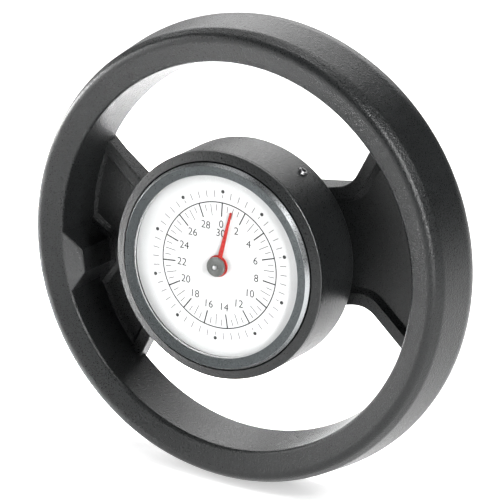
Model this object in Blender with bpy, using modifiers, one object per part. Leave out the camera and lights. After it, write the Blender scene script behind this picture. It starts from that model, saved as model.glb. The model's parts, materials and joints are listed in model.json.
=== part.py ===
"""Two-spoke control handwheel with a gravity position indicator in its hub.

Metres. The shaft's axis is world Y, the dial faces -Y, up is +Z, and the origin is the centre of
the hub's rear face. Every piece is modelled lying down: local x is to the right and local y is up
as the dial is read, and local z is the height in front of the hub's rear face. The empties stand
them up.
"""

import math

import bmesh
import bpy
from mathutils import Matrix, Vector

# Handwheel
RIM_R = 0.0999
RIM_MIDDLE = 0.0190
RIM_MIDDLE_FILLET = 0.012
RIM_CREST_R = 0.0942
RIM_CREST = 0.0424
RIM_CREST_FILLET = 0.0035
RIM_SHOULDER_R = 0.0973
RIM_SHOULDER = 0.0368
RIM_SHOULDER_FILLET = 0.005
RIM_BACK_R = 0.0997
RIM_BACK = 0.0096
RIM_BACK_FILLET = 0.0078
RIM_BACK_INNER_R = 0.0842
RIM_BACK_INNER_FILLET = 0.003
RIM_INNER_BACK_R = 0.0817
RIM_INNER_BACK = 0.0135
RIM_INNER_FRONT_R = 0.0832
RIM_INNER_FRONT = 0.0388
RIM_INNER_FRONT_FILLET = 0.0022
WHEEL_TILT = math.radians(12.2)

HUB_FRONT_R = 0.0485
HUB_FRONT = 0.0495
HUB_LIP_FRONT = 0.0508
HUB_FRONT_FILLET = 0.001
HUB_BACK_R = 0.049
HUB_BACK = 0.0224
HUB_BACK_FILLET = 0.002
HUB_CHAMFER = 0.008
HUB_FOOT = 0.009
CUP_R = 0.0444
CUP_FLOOR = 0.022
BOSS_R = 0.028
BOSS_DRAFT = 0.001
BOSS_FILLET = 0.0012

WEB_FRONT = 0.0175
WEB_BACK = 0.0012
WEB_RIM_BACK = 0.0103
WEB_HALF = 0.0252
WEB_START_X = 0.0125
WEB_BEND_X = 0.0488
WEB_SPREAD = math.radians(53)
WEB_BEND_FILLET = 0.012
WEB_END_R = 0.089
WEB_BACK_START_X = 0.027
WEB_BACK_END_X = 0.062
PANEL_BORDER = 0.005
PANEL_HUB_X = 0.034
PANEL_RIM_R = 0.0825
PANEL_STEP = 0.001
PANEL_SLOPE = 0.0017
CUTTER_EXCESS = 0.002
CUTTER_HALF_WIDTH = 0.07

SEAT_TIP_X = 0.0737
SEAT_TIP_HALF = 0.0049
SEAT_SIDE = 0.010
SEAT_END_X = 0.088
SEAT_FOOT = 0.0105
SEAT_TOP = 0.0386

# Shaft side
BUSH_R = 0.014
BUSH_BORE_R = 0.010
BUSH_LENGTH = 0.020
SHAFT_SCREW_R = 0.003
SHAFT_SCREW_HEIGHT = 0.0048
SHAFT_SCREW_IN = 0.0106
SHAFT_SCREW_OUT = 0.0266

# Indicator case and front
CASE_R = 0.0434
CASE_INNER_R = 0.0414
CASE_BACK = 0.0226
CASE_FLOOR = 0.0246
CASE_FRONT = 0.0482
CASE_CHAMFER = 0.001
CASE_BOSS_R = 0.005
CASE_BOSS_TOP = 0.0276
BEZEL_R = 0.0439
BEZEL_SHOULDER = 0.0509
BEZEL_FACE_R = 0.0428
BEZEL_FRONT = 0.0528
BEZEL_LIP_R = 0.0389
BEZEL_LIP_FRONT = 0.0521
BEZEL_LIP_BACK = 0.0511
BEZEL_SKIRT_R = 0.0424
WINDOW_FLANGE_R = 0.0419
WINDOW_FLANGE_BACK = 0.0502
WINDOW_FLANGE_FRONT = 0.0508
WINDOW_R = 0.0386
WINDOW_SHOULDER = 0.0519
WINDOW_TOP = 0.0545
WINDOW_WALL = 0.0012
WINDOW_STEPS = 4
SEAL_R = 0.0414
SEAL_WIRE_R = 0.0007
SEAL_HEIGHT = 0.0492
CASE_SCREW_R = 0.002
CASE_SCREW_HEIGHT = 0.0296
CASE_SCREW_IN = 0.0437
CASE_SCREW_OUT = 0.0497
CASE_SCREW_ANGLES = {"upper": math.pi / 4, "lower": -3 * math.pi / 4}

# Mechanism
GAP = 0.0003
AXLE_R = 0.0012
AXLE_BACK = 0.0237
AXLE_FRONT = 0.0499
COLLAR_R = 0.0028
COLLAR_TOP = 0.0365
RUNNING_FIT = 0.00015
DIAL_R = 0.0402
DIAL_HOLE_R = 0.0029
DIAL_BACK = 0.0472
DIAL_FRONT = 0.048
PLATE_R = 0.037
FRONT_PLATE = (0.0456, 0.0469)
FRONT_BUSH_R = 0.0036
FRONT_BUSH_FLANGE_R = 0.0046
FRONT_BUSH_BACK = 0.0447
REAR_PLATE = (0.0384, 0.0397)
REAR_BUSH_R = 0.0032
REAR_BUSH_FLANGE_R = 0.0044
REAR_BUSH_BACK = 0.0368
FLUSH = 0.0001
PILLAR_R = 0.0018
PILLAR_AT = 0.034
PILLAR_ANGLES = {"top": 90, "right": -10, "left": 190}
SPIGOT_R = 0.0010
PILLAR_TAP_DEPTH = 0.003
PLATE_SCREW_HEAD_R = 0.0019
PLATE_SCREW_HEAD = 0.0014
PLATE_SCREW_CHAMFER = 0.0003
WEIGHT = (0.0291, 0.0381)
WEIGHT_INNER_R = 0.016
WEIGHT_OUTER_R = 0.0395
WEIGHT_HALF_ANGLE = math.radians(65)
WEIGHT_SCREW_AT = 0.029
WEIGHT_SCREW_ANGLES = {"right": -55, "left": -125}
WEIGHT_SCREW_R = 0.0015
WEIGHT_SCREW_HEAD_R = 0.0026
WEIGHT_SCREW_HEAD = 0.0018
WEIGHT_SINK_R = 0.0030
WEIGHT_SINK_DEPTH = 0.0026

MODULE = 0.0004
ADDENDUM = 0.7 * MODULE
DEDENDUM = 1.0 * MODULE
BACKLASH = 0.00009
PRESSURE_ANGLE = math.radians(20)
SUN_TEETH = 14
IDLER_TEETH = 70
IDLER_PINION_TEETH = 12
POINTER_TEETH = 72
CENTRE_DISTANCE = MODULE * (SUN_TEETH + IDLER_TEETH) / 2
TO_IDLER = math.radians(-90)
SUN_BAND = (0.0406, 0.0424)
IDLER_PINION_BAND = (0.0429, 0.0448)
POINTER_WHEEL_BAND = (0.0431, 0.0444)
PIPE_R = 0.0022
PIPE_BORE_R = 0.0015
PIPE_SPAN = (0.0429, 0.0500)
ARBOR_R = 0.0009
ARBOR_FIT = 0.0002

POINTER_BAND = (0.0489, 0.0494)
POINTER_HUB_R = 0.0046
POINTER_TIP_R = 0.0244
POINTER_ROOT_WIDTH = 0.0020
POINTER_TIP_WIDTH = 0.0009
POINTER_ANGLE = math.radians(90 - 11.5)
CAP_R = 0.00415
CAP_BAND = (0.0501, 0.0513)
CAP_ROUNDING = 0.0004
PIN_R = 0.0009
PIN_SPAN = (0.0502, 0.0522)
PIN_DOME = 0.0004

RIM_SEGMENTS = 64
HUB_SEGMENTS = 52
CASE_SEGMENTS = 44
BORE_SEGMENTS = 18
SCREW_SEGMENTS = 12
SMOOTH_ANGLE = math.radians(32)

MATERIALS = {
    "black_moulding": ((0.018, 0.018, 0.019), 0.62, 0.0),
    "case_black": ((0.012, 0.012, 0.013), 0.55, 0.0),
    "bezel_grey": ((0.09, 0.095, 0.1), 0.42, 0.4),
    "clear_window": ((0.9, 0.92, 0.92), 0.06, 0.0),
    "dial_white": ((0.86, 0.87, 0.87), 0.5, 0.0),
    "pointer_red": ((0.72, 0.03, 0.02), 0.4, 0.0),
    "cap_grey": ((0.05, 0.05, 0.055), 0.4, 0.0),
    "steel": ((0.55, 0.55, 0.56), 0.3, 1.0),
    "screw_black": ((0.03, 0.03, 0.032), 0.35, 0.9),
    "brass": ((0.72, 0.52, 0.22), 0.3, 1.0),
    "aluminium": ((0.75, 0.76, 0.77), 0.35, 1.0),
    "seal_rubber": ((0.02, 0.02, 0.02), 0.8, 0.0),
}


# Scene helpers


def clear_scene():
    for obj in list(bpy.data.objects):
        bpy.data.objects.remove(obj, do_unlink=True)


def new_collection(name):
    collection = bpy.data.collections.new(name)
    bpy.context.scene.collection.children.link(collection)
    return collection


def make_materials():
    made = {}
    for name, (colour, roughness, metallic) in MATERIALS.items():
        material = bpy.data.materials.new(name)
        material.use_nodes = True
        shader = material.node_tree.nodes["Principled BSDF"]
        shader.inputs["Base Color"].default_value = (*colour, 1.0)
        shader.inputs["Roughness"].default_value = roughness
        shader.inputs["Metallic"].default_value = metallic
        if name == "clear_window":
            shader.inputs["Transmission Weight"].default_value = 1.0
        made[name] = material
    return made


def new_empty(name, parent=None, x=0.0, y=0.0):
    empty = bpy.data.objects.new(name, None)
    empty.empty_display_size = 0.02
    PARTS.objects.link(empty)
    empty.parent = parent
    empty.location = (x, y, 0.0)
    return empty


def polar(radius, angle):
    return (radius * math.cos(angle), radius * math.sin(angle))


# Outlines


def arc(radius, start, end, steps, centre=(0.0, 0.0)):
    """Points from one angle to another about a centre, both ends included."""
    points = []
    for i in range(steps + 1):
        x, y = polar(radius, start + (end - start) * i / steps)
        points.append((centre[0] + x, centre[1] + y))
    return points


def circle(radius, steps, centre=(0.0, 0.0)):
    return arc(radius, 0, 2 * math.pi, steps, centre)[:-1]


def filleted(corners, steps=2):
    """A closed outline from corners (x, y, radius), each radius above 0 becoming an arc."""
    points = []
    for i, (x, y, radius) in enumerate(corners):
        corner = Vector((x, y))
        if not radius:
            points.append((x, y))
            continue
        before = (Vector(corners[i - 1][:2]) - corner).normalized()
        after = (Vector(corners[(i + 1) % len(corners)][:2]) - corner).normalized()
        half = before.angle(after) / 2
        middle = corner + (before + after).normalized() * radius / math.sin(half)
        first = corner + before * radius / math.tan(half) - middle
        turn = first.angle_signed(corner + after * radius / math.tan(half) - middle)
        for step in range(steps + 1):
            spoke = Matrix.Rotation(-turn * step / steps, 2) @ first
            points.append(tuple(middle + spoke))
    return points


def half_tooth_angle(teeth, radius):
    """Half the angle that a tooth spans at a radius, from the involute of its base circle."""
    pitch = MODULE * teeth / 2
    base = pitch * math.cos(PRESSURE_ANGLE)
    at_radius = math.acos(min(1.0, base / radius))
    inv_pitch = math.tan(PRESSURE_ANGLE) - PRESSURE_ANGLE
    inv_radius = math.tan(at_radius) - at_radius
    return math.pi / (2 * teeth) - BACKLASH / (2 * pitch) + inv_pitch - inv_radius


def gear_outline(teeth, tooth_at, flank_steps):
    """A gear's outline with one tooth centred on the angle tooth_at."""
    pitch = MODULE * teeth / 2
    tip = pitch + ADDENDUM
    root = pitch - DEDENDUM
    radii = [root + (tip - root) * i / flank_steps for i in range(flank_steps + 1)]
    points = []
    for tooth in range(teeth):
        middle = tooth_at + 2 * math.pi * tooth / teeth
        points += [polar(r, middle - half_tooth_angle(teeth, r)) for r in radii]
        points += [polar(r, middle + half_tooth_angle(teeth, r)) for r in reversed(radii)]
    return points


# Solids


def settle(obj, material, parent):
    """Turns an object into a plain welded mesh, gives it its material and hangs it on its parent."""
    bpy.context.view_layer.update()
    graph = bpy.context.evaluated_depsgraph_get()
    mesh = bpy.data.meshes.new_from_object(obj.evaluated_get(graph))
    name, matrix = obj.name, obj.matrix_world.copy()
    bpy.data.objects.remove(obj, do_unlink=True)
    edit = bmesh.new()
    edit.from_mesh(mesh)
    edit.transform(matrix)
    bmesh.ops.remove_doubles(edit, verts=edit.verts, dist=1e-6)
    bmesh.ops.recalc_face_normals(edit, faces=edit.faces)
    edit.to_mesh(mesh)
    edit.free()
    mesh.name = name
    mesh.shade_smooth()
    mesh.set_sharp_from_angle(angle=SMOOTH_ANGLE)
    mesh.materials.clear()
    settled = bpy.data.objects.new(name, mesh)
    if parent is None:
        CUTTERS.objects.link(settled)
        settled.hide_render = True
        settled.display_type = "WIRE"
    else:
        mesh.materials.append(LOOKS[material])
        PARTS.objects.link(settled)
        settled.parent = parent
    return settled


def turned(name, outline, segments, material=None, parent=None, matrix=Matrix()):
    """A solid of revolution about local z. The outline's outer side runs from top to bottom."""
    mesh = bpy.data.meshes.new(name)
    links = [(i, i + 1) for i in range(len(outline) - 1)]
    if outline[0][0] > 0:
        links.append((len(outline) - 1, 0))
    mesh.from_pydata([(r, 0.0, z) for r, z in outline], links, [])
    obj = bpy.data.objects.new(name, mesh)
    CUTTERS.objects.link(obj)
    screw = obj.modifiers.new("turn", "SCREW")
    screw.steps = screw.render_steps = segments
    screw.use_merge_vertices = True
    screw.merge_threshold = 1e-6
    obj.matrix_world = matrix
    return settle(obj, material, parent)


def ring(name, inner, outer, low, high, segments, material=None, parent=None):
    outline = [(outer, high), (outer, low), (inner, low), (inner, high)]
    return turned(name, outline, segments, material, parent)


def extruded(name, outlines, low, high, material=None, parent=None, matrix=Matrix()):
    """A flat shape between two heights. The first outline is its edge and the others are holes."""
    curve = bpy.data.curves.new(name, "CURVE")
    curve.dimensions = "2D"
    curve.fill_mode = "BOTH"
    curve.extrude = (high - low) / 2
    for outline in outlines:
        spline = curve.splines.new("POLY")
        spline.points.add(len(outline) - 1)
        for point, (x, y) in zip(spline.points, outline):
            point.co = (x, y, 0.0, 1.0)
        spline.use_cyclic_u = True
    obj = bpy.data.objects.new(name, curve)
    CUTTERS.objects.link(obj)
    obj.matrix_world = matrix @ Matrix.Translation((0, 0, (low + high) / 2))
    return settle(obj, material, parent)


def rod(name, radius, low, high, segments, material=None, parent=None, at=(0.0, 0.0)):
    """A plain round bar along local z, from a cylinder primitive."""
    edit = bmesh.new()
    bmesh.ops.create_cone(
        edit,
        cap_ends=True,
        segments=segments,
        radius1=radius,
        radius2=radius,
        depth=high - low,
        matrix=Matrix.Translation((at[0], at[1], (low + high) / 2)),
    )
    mesh = bpy.data.meshes.new(name)
    edit.to_mesh(mesh)
    edit.free()
    obj = bpy.data.objects.new(name, mesh)
    CUTTERS.objects.link(obj)
    return settle(obj, material, parent)


def combine(target, operation, *others):
    """Joins or cuts with the EXACT solver, and removes the other solids."""
    for other in others:
        boolean = target.modifiers.new(operation.lower(), "BOOLEAN")
        boolean.operation = operation
        boolean.object = other
        boolean.solver = "EXACT"
        bpy.context.view_layer.update()
        graph = bpy.context.evaluated_depsgraph_get()
        mesh = bpy.data.meshes.new_from_object(target.evaluated_get(graph))
        target.modifiers.clear()
        target.data = mesh
        bpy.data.objects.remove(other, do_unlink=True)
    target.data.shade_smooth()
    target.data.set_sharp_from_angle(angle=SMOOTH_ANGLE)
    return target


def radial(angle, height):
    """Places a z-axis solid so that its z runs outwards from the wheel's axis."""
    lean = Matrix.Rotation(math.pi / 2, 4, "Y")
    half_step = Matrix.Rotation(math.pi / BORE_SEGMENTS, 4, "Z")
    return Matrix.Translation((0, 0, height)) @ Matrix.Rotation(angle, 4, "Z") @ lean @ half_step


def grub_screw(name, radius, inner, outer, angle, height, parent):
    """A set screw pointing inwards, with a chamfered point and a hexagon socket outside."""
    chamfer = radius * 0.25
    outline = [
        (0.0, outer),
        (radius - chamfer, outer),
        (radius, outer - chamfer),
        (radius, inner + chamfer),
        (radius - chamfer, inner),
        (0.0, inner),
    ]
    screw = turned(name, outline, BORE_SEGMENTS, "screw_black", parent, radial(angle, height))
    socket_depth = radius * 1.3
    socket = extruded(
        name + "_socket",
        [circle(radius * 0.58, 6)],
        outer - socket_depth,
        outer + socket_depth,
        matrix=radial(angle, height),
    )
    return combine(screw, "DIFFERENCE", socket)


# Handwheel


def rim_outline():
    return filleted(
        [
            (RIM_CREST_R, RIM_CREST, RIM_CREST_FILLET),
            (RIM_SHOULDER_R, RIM_SHOULDER, RIM_SHOULDER_FILLET),
            (RIM_R, RIM_MIDDLE, RIM_MIDDLE_FILLET),
            (RIM_BACK_R, RIM_BACK, RIM_BACK_FILLET),
            (RIM_BACK_INNER_R, RIM_BACK, RIM_BACK_INNER_FILLET),
            (RIM_INNER_BACK_R, RIM_INNER_BACK, 0.0),
            (RIM_INNER_FRONT_R, RIM_INNER_FRONT, RIM_INNER_FRONT_FILLET),
        ]
    )


def hub_outline():
    chamfer_r = HUB_BACK_R - HUB_CHAMFER
    chamfer_z = HUB_BACK - HUB_CHAMFER
    hole_r = BUSH_R + GAP
    return filleted(
        [
            (HUB_FRONT_R, HUB_FRONT, HUB_FRONT_FILLET),
            (HUB_BACK_R, HUB_BACK, HUB_BACK_FILLET),
            (chamfer_r, chamfer_z, 0.0),
            (chamfer_r, HUB_FOOT, 0.0),
            (BOSS_R + BOSS_DRAFT, HUB_FOOT, 0.0),
            (BOSS_R, 0.0, BOSS_FILLET),
            (hole_r, 0.0, 0.0),
            (hole_r, CUP_FLOOR, 0.0),
            (CUP_R, CUP_FLOOR, 0.0),
            (CUP_R, HUB_LIP_FRONT, 0.0),
        ]
    )


def web_edge_x(y):
    """How far out a web's straight free edge is at a distance y from its centre line."""
    return WEB_BEND_X + (y - WEB_HALF) / math.tan(WEB_SPREAD)


def reach_y(radius, across):
    """Where the line beside a web's free edge, across from it along x, meets a circle."""
    y = WEB_HALF
    for _ in range(40):
        y += radius - math.hypot(web_edge_x(y) + across, y)
    return y


def mirrored(upper):
    """An outline from its half above the x axis."""
    return upper + [(x, -y) for x, y in reversed(upper)]


def web_outline():
    """The whole web in plan, from inside the hub out into the rim."""
    end_y = reach_y(WEB_END_R, 0.0)
    end_angle = math.atan2(end_y, web_edge_x(end_y))
    upper = filleted(
        [
            (WEB_START_X, WEB_HALF, 0.0),
            (WEB_BEND_X, WEB_HALF, WEB_BEND_FILLET),
            (web_edge_x(end_y), end_y, 0.0),
        ]
    )
    return mirrored(upper + arc(WEB_END_R, end_angle, 0.0, 5)[1:-1])


def seat_outline():
    """The handle seat in plan: half an octagon, open to the rim."""
    wide = SEAT_TIP_HALF + SEAT_SIDE
    return mirrored([(SEAT_END_X, wide), (SEAT_TIP_X + SEAT_SIDE, wide), (SEAT_TIP_X, SEAT_TIP_HALF)])


def panel_outline(has_seat):
    """The sunk panel in plan: a border's width inside the free edges, and up to the rim's wall."""
    across = PANEL_BORDER / math.sin(WEB_SPREAD)
    half = WEB_HALF - PANEL_BORDER
    bend_x = WEB_BEND_X + PANEL_BORDER * math.tan(WEB_SPREAD / 2)
    y = reach_y(PANEL_RIM_R, across)
    end_angle = math.atan2(y, web_edge_x(y) + across)
    upper = filleted(
        [(PANEL_HUB_X, half, 0), (bend_x, half, WEB_BEND_FILLET), (*polar(PANEL_RIM_R, end_angle), 0)]
    )
    if has_seat:
        tip_half = SEAT_TIP_HALF + PANEL_SLOPE * math.tan(math.pi / 8)
        foot_x = SEAT_TIP_X - PANEL_SLOPE
        wall_x = foot_x
        for _ in range(40):
            wall_x += PANEL_RIM_R - math.hypot(wall_x, tip_half + wall_x - foot_x)
        wall = (wall_x, tip_half + wall_x - foot_x)
        rim_side = arc(PANEL_RIM_R, end_angle, math.atan2(wall[1], wall[0]), 5)[1:-1]
        rim_side += [wall, (foot_x, tip_half)]
    else:
        rim_side = arc(PANEL_RIM_R, end_angle, 0.0, 6)[1:-1]
    return mirrored(upper + rim_side)


def panel_cutter(name, has_seat):
    """A cutter with an upright lip and then a floor reached by a 45 degree slope."""
    edit = bmesh.new()
    top = WEB_FRONT + CUTTER_EXCESS
    corners = [edit.verts.new((x, y, top)) for x, y in panel_outline(has_seat)]
    lid = edit.faces.new(corners)
    grown = bmesh.ops.extrude_face_region(edit, geom=[lid])["geom"]
    floor = [item for item in grown if isinstance(item, bmesh.types.BMFace)]
    moved = [item for item in grown if isinstance(item, bmesh.types.BMVert)]
    drop = top - WEB_FRONT + PANEL_STEP
    bmesh.ops.translate(edit, verts=moved, vec=(0, 0, -drop))
    bmesh.ops.recalc_face_normals(edit, faces=edit.faces)
    bmesh.ops.inset_region(
        edit, faces=floor, thickness=PANEL_SLOPE, depth=PANEL_SLOPE, use_even_offset=True
    )
    mesh = bpy.data.meshes.new(name)
    edit.to_mesh(mesh)
    edit.free()
    obj = bpy.data.objects.new(name, mesh)
    CUTTERS.objects.link(obj)
    return settle(obj, None, None)


def back_slope_cutter(name):
    """Thins the web behind, from full depth at the hub to the rim's back face."""
    outline = [
        (0.0, WEB_BACK),
        (WEB_BACK_START_X, WEB_BACK),
        (WEB_BACK_END_X, WEB_RIM_BACK),
        (RIM_R, WEB_RIM_BACK),
        (RIM_R, -WEB_FRONT),
        (0.0, -WEB_FRONT),
    ]
    stand = Matrix.Rotation(math.pi / 2, 4, "X")
    return extruded(name, [outline], -CUTTER_HALF_WIDTH, CUTTER_HALF_WIDTH, matrix=stand)


def web(name, has_seat):
    """A web pointing along +x, or along -x for the one with the handle's seat."""
    plate = extruded(name, [web_outline()], 0.0, WEB_FRONT)
    combine(plate, "DIFFERENCE", back_slope_cutter(name + "_slope"))
    combine(plate, "DIFFERENCE", panel_cutter(name + "_panel", has_seat))
    if has_seat:
        seat = extruded(name + "_seat", [seat_outline()], SEAT_FOOT, SEAT_TOP)
        combine(plate, "UNION", seat)
        plate.data.transform(Matrix.Rotation(math.pi, 4, "Z"))
    return plate


def screw_hole(radius, inner, outer, angle, height):
    hole = rod("hole", radius + GAP, inner, outer, BORE_SEGMENTS)
    hole.data.transform(radial(angle, height))
    return hole


def make_handwheel(parent):
    body = turned("handwheel_body", rim_outline(), RIM_SEGMENTS, "black_moulding", parent)
    combine(body, "UNION", web("web_right", False))
    combine(body, "UNION", web("web_left", True))
    middle = rod("middle", (BUSH_R + BOSS_R) / 2, -CUTTER_EXCESS, CUP_FLOOR, HUB_SEGMENTS)
    combine(body, "DIFFERENCE", middle)
    combine(body, "UNION", turned("hub", hub_outline(), HUB_SEGMENTS))
    for angle in CASE_SCREW_ANGLES.values():
        ends = (CUP_R - CUTTER_EXCESS, HUB_BACK_R + CUTTER_EXCESS)
        combine(body, "DIFFERENCE", screw_hole(CASE_SCREW_R, *ends, angle, CASE_SCREW_HEIGHT))
    ends = (BUSH_R - CUTTER_EXCESS, BOSS_R + CUTTER_EXCESS * 2)
    combine(body, "DIFFERENCE", screw_hole(SHAFT_SCREW_R, *ends, math.pi / 2, SHAFT_SCREW_HEIGHT))
    body.data.materials.clear()
    body.data.materials.append(LOOKS["black_moulding"])


def make_shaft_pieces(parent):
    bush = ring("shaft_bush", BUSH_BORE_R, BUSH_R, 0.0, BUSH_LENGTH, 32, "steel", parent)
    ends = (BUSH_BORE_R - CUTTER_EXCESS, BUSH_R + CUTTER_EXCESS)
    combine(bush, "DIFFERENCE", screw_hole(SHAFT_SCREW_R, *ends, math.pi / 2, SHAFT_SCREW_HEIGHT))
    grub_screw(
        "shaft_grub_screw",
        SHAFT_SCREW_R,
        SHAFT_SCREW_IN,
        SHAFT_SCREW_OUT,
        math.pi / 2,
        SHAFT_SCREW_HEIGHT,
        parent,
    )


# Indicator


def make_case(parent):
    outline = [
        (CASE_R, CASE_FRONT),
        (CASE_R, CASE_BACK + CASE_CHAMFER),
        (CASE_R - CASE_CHAMFER, CASE_BACK),
        (0.0, CASE_BACK),
        (0.0, AXLE_BACK - GAP),
        (AXLE_R + GAP, AXLE_BACK - GAP),
        (AXLE_R + GAP, CASE_BOSS_TOP),
        (CASE_BOSS_R, CASE_BOSS_TOP),
        (CASE_BOSS_R, CASE_FLOOR),
        (CASE_INNER_R, CASE_FLOOR),
        (CASE_INNER_R, CASE_FRONT),
    ]
    on_axis = outline.index((0.0, CASE_BACK)) + 1
    rolled = outline[on_axis:] + outline[:on_axis]
    turned("indicator_case", rolled, CASE_SEGMENTS, "case_black", parent)


def make_front(parent):
    bezel = [
        (BEZEL_FACE_R, BEZEL_FRONT),
        (BEZEL_R, BEZEL_SHOULDER),
        (BEZEL_R, CASE_FRONT + GAP),
        (BEZEL_SKIRT_R, CASE_FRONT + GAP),
        (BEZEL_SKIRT_R, BEZEL_LIP_BACK),
        (BEZEL_LIP_R, BEZEL_LIP_BACK),
        (BEZEL_LIP_R, BEZEL_LIP_FRONT),
    ]
    turned("bezel_ring", bezel, CASE_SEGMENTS, "bezel_grey", parent)
    rise = WINDOW_TOP - WINDOW_SHOULDER
    sphere_r = (WINDOW_R**2 + rise**2) / (2 * rise)
    outer, inner = [], []
    inside_r = WINDOW_R - WINDOW_WALL
    for i in range(WINDOW_STEPS + 1):
        r = WINDOW_R * i / WINDOW_STEPS
        outer.append((r, WINDOW_TOP - sphere_r + math.sqrt(sphere_r**2 - r**2)))
        r = inside_r * i / WINDOW_STEPS
        inner.append((r, WINDOW_TOP - WINDOW_WALL - sphere_r + math.sqrt(sphere_r**2 - r**2)))
    flange = [
        (WINDOW_R, WINDOW_FLANGE_FRONT),
        (WINDOW_FLANGE_R, WINDOW_FLANGE_FRONT),
        (WINDOW_FLANGE_R, WINDOW_FLANGE_BACK),
        (inside_r, WINDOW_FLANGE_BACK),
    ]
    turned("window", outer + flange + inner[::-1], CASE_SEGMENTS, "clear_window", parent)
    wire = circle(SEAL_WIRE_R, 6, (SEAL_R, SEAL_HEIGHT))
    turned("window_seal", wire[::-1], CASE_SEGMENTS, "seal_rubber", parent)


def make_case_screws(parent):
    for side, angle in CASE_SCREW_ANGLES.items():
        grub_screw(
            f"case_grub_screw_{side}",
            CASE_SCREW_R,
            CASE_SCREW_IN,
            CASE_SCREW_OUT,
            angle,
            CASE_SCREW_HEIGHT,
            parent,
        )


def make_axle(parent):
    rod("axle", AXLE_R, AXLE_BACK, AXLE_FRONT, 14, "steel", parent)
    collar = (CASE_BOSS_TOP + GAP, COLLAR_TOP)
    ring("axle_collar", AXLE_R + GAP, COLLAR_R, *collar, 16, "brass", parent)
    outlines = [gear_outline(SUN_TEETH, TO_IDLER, 2), circle(AXLE_R + GAP, 16)]
    extruded("sun_pinion", outlines, *SUN_BAND, "brass", parent)


# Pendulum


def make_plates(parent):
    spots = [polar(PILLAR_AT, math.radians(a)) for a in PILLAR_ANGLES.values()]
    idler = polar(CENTRE_DISTANCE, TO_IDLER)
    arbor_hole = circle(ARBOR_R + ARBOR_FIT, SCREW_SEGMENTS, idler)
    spigots = [circle(SPIGOT_R + GAP, SCREW_SEGMENTS, spot) for spot in spots]
    weights = [polar(WEIGHT_SCREW_AT, math.radians(a)) for a in WEIGHT_SCREW_ANGLES.values()]
    tapped = [circle(WEIGHT_SCREW_R + GAP, SCREW_SEGMENTS, spot) for spot in weights]
    edge = circle(PLATE_R, 40)
    front = [edge, circle(FRONT_BUSH_R + GAP, BORE_SEGMENTS), arbor_hole, *spigots]
    extruded("front_plate", front, *FRONT_PLATE, "aluminium", parent)
    rear = [edge, circle(REAR_BUSH_R + GAP, BORE_SEGMENTS), arbor_hole, *spigots, *tapped]
    extruded("rear_plate", rear, *REAR_PLATE, "aluminium", parent)
    disc = [circle(DIAL_R, 52), circle(DIAL_HOLE_R, BORE_SEGMENTS)]
    extruded("dial", disc, DIAL_BACK, DIAL_FRONT, "dial_white", parent)


def make_pillars(parent):
    """Each pillar has a spigot in the front plate, and takes a screw through the rear plate."""
    low = REAR_PLATE[1] + GAP
    shoulder = FRONT_PLATE[0] - GAP
    tap = low + PILLAR_TAP_DEPTH
    pillar = [
        (0.0, FRONT_PLATE[1] - FLUSH),
        (SPIGOT_R, FRONT_PLATE[1] - FLUSH),
        (SPIGOT_R, shoulder),
        (PILLAR_R, shoulder),
        (PILLAR_R, low),
        (SPIGOT_R + GAP, low),
        (SPIGOT_R + GAP, tap),
        (0.0, tap),
    ]
    head = REAR_PLATE[0] - GAP
    screw = [
        (0.0, tap - GAP * 2),
        (SPIGOT_R, tap - GAP * 2),
        (SPIGOT_R, head),
        (PLATE_SCREW_HEAD_R, head),
        (PLATE_SCREW_HEAD_R, head - PLATE_SCREW_HEAD + PLATE_SCREW_CHAMFER),
        (PLATE_SCREW_HEAD_R - PLATE_SCREW_CHAMFER, head - PLATE_SCREW_HEAD),
        (0.0, head - PLATE_SCREW_HEAD),
    ]
    for side, angle in PILLAR_ANGLES.items():
        place = Matrix.Translation((*polar(PILLAR_AT, math.radians(angle)), 0))
        turned(f"pillar_{side}", pillar, SCREW_SEGMENTS, "brass", parent, place)
        turned(f"plate_screw_{side}", screw, SCREW_SEGMENTS, "steel", parent, place)


def make_weight(parent):
    start = -math.pi / 2 - WEIGHT_HALF_ANGLE
    end = -math.pi / 2 + WEIGHT_HALF_ANGLE
    outline = arc(WEIGHT_OUTER_R, start, end, 24) + arc(WEIGHT_INNER_R, end, start, 12)
    spots = [polar(WEIGHT_SCREW_AT, math.radians(a)) for a in WEIGHT_SCREW_ANGLES.values()]
    holes = [circle(WEIGHT_SCREW_R + GAP, SCREW_SEGMENTS, spot) for spot in spots]
    weight = extruded("pendulum_weight", [outline, *holes], *WEIGHT, "brass", parent)
    seat_top = WEIGHT[0] + WEIGHT_SINK_DEPTH
    for spot in spots:
        sink = rod("sink", WEIGHT_SINK_R, WEIGHT[0] - CUTTER_EXCESS, seat_top, 16, at=spot)
        combine(weight, "DIFFERENCE", sink)
    weight.data.materials.clear()
    weight.data.materials.append(LOOKS["brass"])
    head = seat_top - GAP
    screw = [
        (0.0, REAR_PLATE[1] - FLUSH),
        (WEIGHT_SCREW_R, REAR_PLATE[1] - FLUSH),
        (WEIGHT_SCREW_R, head),
        (WEIGHT_SCREW_HEAD_R, head),
        (WEIGHT_SCREW_HEAD_R, head - WEIGHT_SCREW_HEAD),
        (0.0, head - WEIGHT_SCREW_HEAD),
    ]
    for side, spot in zip(WEIGHT_SCREW_ANGLES, spots):
        place = Matrix.Translation((*spot, 0))
        turned(f"weight_screw_{side}", screw, SCREW_SEGMENTS, "steel", parent, place)


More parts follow.
